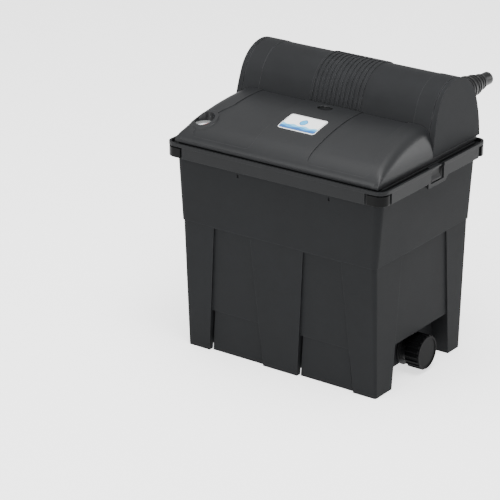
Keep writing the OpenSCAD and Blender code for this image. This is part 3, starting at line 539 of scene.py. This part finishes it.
def soften_lid_ends(bm):
    """Rounds the edge where the barrel meets its leaning ends."""
    # the ends get small cells, and the barrel gets narrow strips beside them
    for y in sorted({round(v.co.y, 5) for v in bm.verts if on_barrel(v) and on_end(v)}):
        cut_faces(bm, on_end, (0, y, 0), (0, 1, 0))
    levels, level_start, level_step = 20, 1.5 * MM, 2.1 * MM
    for i in range(levels):
        cut_faces(bm, on_end, (0, 0, DECK_Z + level_start + level_step * i), (0, 0, 1))
    strips, strip_start, strip_step = 18, 0.1472, 1.6 * MM
    for i in range(strips):
        for side in (-1, 1):
            cut_faces(bm, on_barrel, (side * (strip_start + strip_step * i), 0, 0), (1, 0, 0))
    # then what stands out of the round is moved onto it, a few steps at a time
    steps, steep = 14, 0.35
    for v in bm.verts:
        if abs(v.co.x) < ROUND_START or not (on_barrel(v) or on_end(v)):
            continue
        if on_end(v):
            v.co.x = math.copysign(lid_end(v.co.z)[0], v.co.x)
        lift = boss_lift(v.co)
        off_wall = min(abs(well_reach(v.co) - r) for r in (WELL_R, BOSS_R))
        on_wall = v.co.x < 0 and off_wall < WALL_SLACK
        for _ in range(steps):
            out, _r, g, _end = lid_round(v.co, lift)
            if out <= 0:
                break
            if on_wall and g.z > steep:
                v.co.z -= out / g.z     # the walls of the well and of its boss stay upright
            else:
                v.co -= g * (out / g.length_squared)


def set_lid_normals(mesh):
    """Shades the barrel, its sunk panels, the ends and their round as the curved surfaces they stand for.
    Faces that look more than about 20 degrees away from them keep their own shading."""
    close, reach_down = 0.93, 60 * MM
    normals = []
    for p in mesh.polygons:
        for i in p.loop_indices:
            co = mesh.vertices[mesh.loops[i].vertex_index].co
            n = Vector((0, 0, 0))
            if co.z > DECK_Z + 0.02 * MM and abs(co.z - barrel(co.y)[0]) < reach_down:
                _out, r, g, end = lid_round(co)
                choices = [g.normalized(), end] if r < TINY_ROUND else [g.normalized()]
                best = max(choices, key=p.normal.dot)
                if p.normal.dot(best) > close:
                    n = best
            normals.append(n)
    mesh.normals_split_custom_set(normals)


# ---------------------------------------------------------------- the CAD nodes, refined

# bevel widths in mm, and the angle in degrees above which an edge is bevelled
DETAIL = {
    "tank": dict(width=0.7),
    "rim_collar": dict(width=0.6),
    "corner_bumpers": dict(width=1.2, segments=4),
    "right_latch": dict(width=0.5),
    "left_latch": dict(width=0.5),
    "lid": dict(width=0, shape=soften_lid_ends),
    "hood": dict(width=0),
    "drain_cap": dict(width=0.45, angle=40),
    "hood_button": dict(width=0.5, angle=40),
}
FOAMS = ("coarse_foam", "medium_foam", "fine_foam")
SPECIAL = {*FOAMS, "label_plate", "thermometer_dial"}
for node_name in frame["nodes"]:
    if node_name not in SPECIAL:
        refine(node_name, **DETAIL.get(node_name, dict(width=0.35, angle=40)))

refine("thermometer_dial", width=0.3, angle=40)


# ---------------------------------------------------------------- foam and label

def foam_block(name, seed):
    """A block of sawn foam with soft edges and a slightly uneven skin."""
    lo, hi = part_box(name)
    centre, half = (lo + hi) / 2, (hi - lo) / 2
    cuts = 26
    bm = bmesh.new()
    bmesh.ops.create_cube(bm, size=2.0)
    bmesh.ops.subdivide_edges(bm, edges=bm.edges[:], cuts=cuts, use_grid_fill=True)
    round_r = 3.5 * MM
    offset = Vector((seed * 7.1, seed * 3.3, 0))
    for v in bm.verts:
        p = Vector((v.co.x * half.x, v.co.y * half.y, v.co.z * half.z))
        inner = Vector([max(-(h - round_r), min(h - round_r, c)) for c, h in zip(p, half)])
        out = p - inner
        if out.length > 1e-9:
            p = inner + out.normalized() * min(out.length, round_r)
        n = p - inner
        n = n.normalized() if n.length > 1e-9 else Vector((0, 0, 1))
        q = p + centre
        wobble = noise.noise(q * 38 + offset) * 0.9 + noise.noise(q * 150 + offset) * 0.5
        v.co = q + n * (wobble - 0.9) * MM      # drawn in, so that it stays inside its CAD box
    mesh = bpy.data.meshes.new(name + "_block")
    bm.to_mesh(mesh)
    finish_mesh(mesh, 180)
    o = place(name + "_block", mesh, BODY_OF[name], SLOT_OF[name], (name,))


for index, foam_name in enumerate(FOAMS):
    foam_block(foam_name, index + 1)


def label_film():
    """The label, a thin film that follows the barrel."""
    (cx, cy), (hx, hy), r = LABEL_CENTRE, LABEL_HALF, LABEL_CORNER
    across, along = 24, 32
    thick = 0.75 * MM

    def half_width(y):
        corner = max(0.0, abs(y - cy) - (hy - r))
        return hx - r + math.sqrt(max(0.0, r * r - corner * corner))

    # rows run across the label, closer together at the round corners
    rows = []
    for i in range(along + 1):
        y = cy - hy * math.cos(math.pi * i / along)
        w = max(half_width(y), 0.2 * MM)
        rows.append([(cx + w * (2 * k / across - 1), y) for k in range(across + 1)])
    bm = bmesh.new()
    top = [[bm.verts.new((x, y, barrel(y)[0] + thick)) for x, y in row] for row in rows]
    low = [[bm.verts.new((x, y, barrel(y)[0] + 0.05 * MM)) for x, y in row] for row in rows]
    for i in range(along):
        for k in range(across):
            bm.faces.new((top[i][k], top[i][k + 1], top[i + 1][k + 1], top[i + 1][k]))
            bm.faces.new((low[i][k], low[i + 1][k], low[i + 1][k + 1], low[i][k + 1]))
        bm.faces.new((top[i][0], top[i + 1][0], low[i + 1][0], low[i][0]))
        bm.faces.new((top[i][-1], low[i][-1], low[i + 1][-1], top[i + 1][-1]))
    for k in range(across):
        bm.faces.new((top[0][k], low[0][k], low[0][k + 1], top[0][k + 1]))
        bm.faces.new((top[-1][k], top[-1][k + 1], low[-1][k + 1], low[-1][k]))
    bmesh.ops.recalc_face_normals(bm, faces=bm.faces)
    mesh = bpy.data.meshes.new("label_film")
    bm.to_mesh(mesh)
    finish_mesh(mesh, 40)
    place("label_film", mesh, BODY_OF["label_plate"], "label", ("label_plate",))


label_film()


# ---------------------------------------------------------------- studio

def studio_floor():
    mesh = bpy.data.meshes.new("floor")
    s = 9.0
    mesh.from_pydata([(-s, -s, 0), (s, -s, 0), (s, s, 0), (-s, s, 0)], [], [(0, 1, 2, 3)])
    m, t, b = new_material("floor")
    where = add(t, "ShaderNodeTexCoord").outputs["Object"]
    soft = noise_fac(t, where, 1.2, 2)
    t.links.new(mix_colour(t, soft, (0.93, 0.93, 0.93, 1), (0.90, 0.90, 0.90, 1)), b.inputs["Base Color"])
    b.inputs["Roughness"].default_value = 0.9
    b.inputs["Specular IOR Level"].default_value = 0.1
    b.inputs["Emission Color"].default_value = (1, 1, 1, 1)
    b.inputs["Emission Strength"].default_value = 1.5
    mesh.materials.append(m)
    o = bpy.data.objects.new("floor", mesh)
    scene.collection.objects.link(o)


def softbox(name, where, aim, size, power):
    light = bpy.data.lights.new(name, "AREA")
    light.energy = power
    light.size = size
    o = bpy.data.objects.new(name, light)
    scene.collection.objects.link(o)
    o.location = where
    o.rotation_euler = (Vector(aim) - Vector(where)).to_track_quat("-Z", "Y").to_euler()
    return o


studio_floor()
AIM = (0.0, 0.0, 0.22)
softbox("right", (0.95, -0.5, 2.6), AIM, 1.2, 55)
softbox("front", (-0.6, -3.0, 1.8), AIM, 2.2, 73)
# shines on the lid's leaning end from behind, without adding to the diffuse light
rim = softbox("rim", (1.55, 1.9, 0.95), AIM, 1.1, 26)
rim.visible_diffuse = False
softbox("top", (-0.2, -0.1, 2.7), AIM, 2.0, 60)
world = bpy.data.worlds.new("studio")
scene.world = world
world.use_nodes = True
sky = world.node_tree.nodes["Background"]
sky.inputs[0].default_value = (1, 1, 1, 1)
sky.inputs[1].default_value = 0.8


# ---------------------------------------------------------------- camera

AZIMUTH, ELEVATION = math.radians(35.817), math.radians(21.992)
back = Vector((math.sin(AZIMUTH) * math.cos(ELEVATION),
               -math.cos(AZIMUTH) * math.cos(ELEVATION),
               math.sin(ELEVATION)))
lens = bpy.data.cameras.new("camera")
lens.lens = 177.18
lens.sensor_width = 36
camera = bpy.data.objects.new("camera", lens)
scene.collection.objects.link(camera)
camera.location = (1.8973, -2.8199, 1.5266)
camera.rotation_euler = (-back).to_track_quat("-Z", "Y").to_euler()
scene.camera = camera
